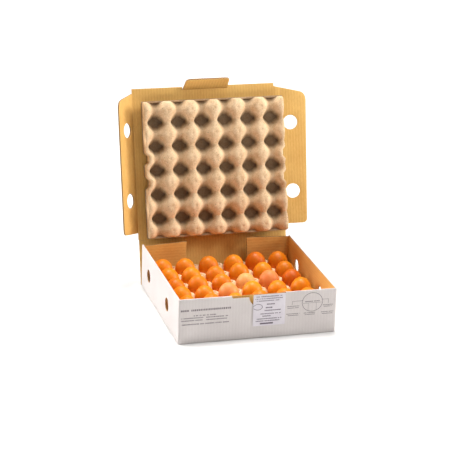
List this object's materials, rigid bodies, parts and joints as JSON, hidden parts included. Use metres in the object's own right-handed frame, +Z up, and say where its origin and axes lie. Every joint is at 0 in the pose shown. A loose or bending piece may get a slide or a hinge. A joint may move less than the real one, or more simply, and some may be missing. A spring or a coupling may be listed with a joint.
{
  "type": "egg box",
  "caption": "Corrugated cardboard egg box with its hinged lid standing open, brown eggs on a pulp tray in the base and an empty pulp tray in the lid.",
  "frame": {"origin": "middle of the base's underside", "axes": "+X to the right, -Y towards the front wall with the seal, +Z up; the lid's crease runs along X at the back"},
  "size_m": [0.4083, 0.4196, 0.4104],
  "materials": {
    "white_board": "matte",
    "kraft_board": "matte",
    "pulp": "matte",
    "eggshell": "satin",
    "eggshell_pale": "satin",
    "seal_paper": "satin"
  },
  "bodies": {
    "base": {"box_base": "white_board", "front_seal": "seal_paper", "tray_lower": "pulp", "egg_r1c1": "eggshell", "egg_r1c2": "eggshell", "egg_r1c3": "eggshell", "egg_r1c4": "eggshell", "egg_r1c5": "eggshell", "egg_r1c6": "eggshell", "egg_r2c1": "eggshell", "egg_r2c2": "eggshell", "egg_r2c3": "eggshell", "egg_r2c4": "eggshell", "egg_r2c5": "eggshell", "egg_r2c6": "eggshell", "egg_r3c1": "eggshell", "egg_r3c2": "eggshell", "egg_r3c3": "eggshell", "egg_r3c4": "eggshell_pale", "egg_r3c5": "eggshell", "egg_r3c6": "eggshell", "egg_r4c1": "eggshell", "egg_r4c2": "eggshell", "egg_r4c3": "eggshell_pale", "egg_r4c4": "eggshell", "egg_r4c5": "eggshell", "egg_r4c6": "eggshell", "egg_r5c1": "eggshell", "egg_r5c2": "eggshell", "egg_r5c3": "eggshell", "egg_r5c4": "eggshell", "egg_r5c5": "eggshell", "egg_r5c6": "eggshell"},
    "back_wall": {"back_wall": "kraft_board"},
    "lid": {"lid_panel": "kraft_board", "tray_upper": "pulp"},
    "lid_tab": {"lid_tab": "kraft_board"},
    "lid_flap_left": {"lid_flap_left": "kraft_board"},
    "lid_flap_right": {"lid_flap_right": "kraft_board"}
  },
  "joints": [
    {"name": "back_wall_fold", "type": "hinge", "parent": "base", "child": "back_wall", "pos_m": [0, 0.156, 0.0005], "axis": [1, 0, 0], "range_deg": [-2, 15.6]},
    {"name": "lid_fold", "type": "hinge", "parent": "back_wall", "child": "lid", "pos_m": [0, 0.17746, 0.08909], "axis": [1, 0, 0], "range_deg": [-10, 90]},
    {"name": "lid_tab_fold", "type": "hinge", "parent": "lid", "child": "lid_tab", "pos_m": [0, 0.25843, 0.38107], "axis": [1, 0, 0], "range_deg": [-4.5, 39.1]},
    {"name": "lid_flap_left_fold", "type": "hinge", "parent": "lid", "child": "lid_flap_left", "pos_m": [-0.158, 0.17746, 0.08909], "axis": [0, 0.2672, 0.9636], "range_deg": [-50, 40]},
    {"name": "lid_flap_right_fold", "type": "hinge", "parent": "lid", "child": "lid_flap_right", "pos_m": [0.1576, 0.17746, 0.08909], "axis": [0, -0.2672, -0.9636], "range_deg": [-4.5, 85.5]}
  ],
  "couplings": [
    {"joint": "back_wall_fold", "follows": "lid_fold", "ratio": 0.17222},
    {"joint": "lid_tab_fold", "follows": "lid_fold", "ratio": 0.43333}
  ]
}
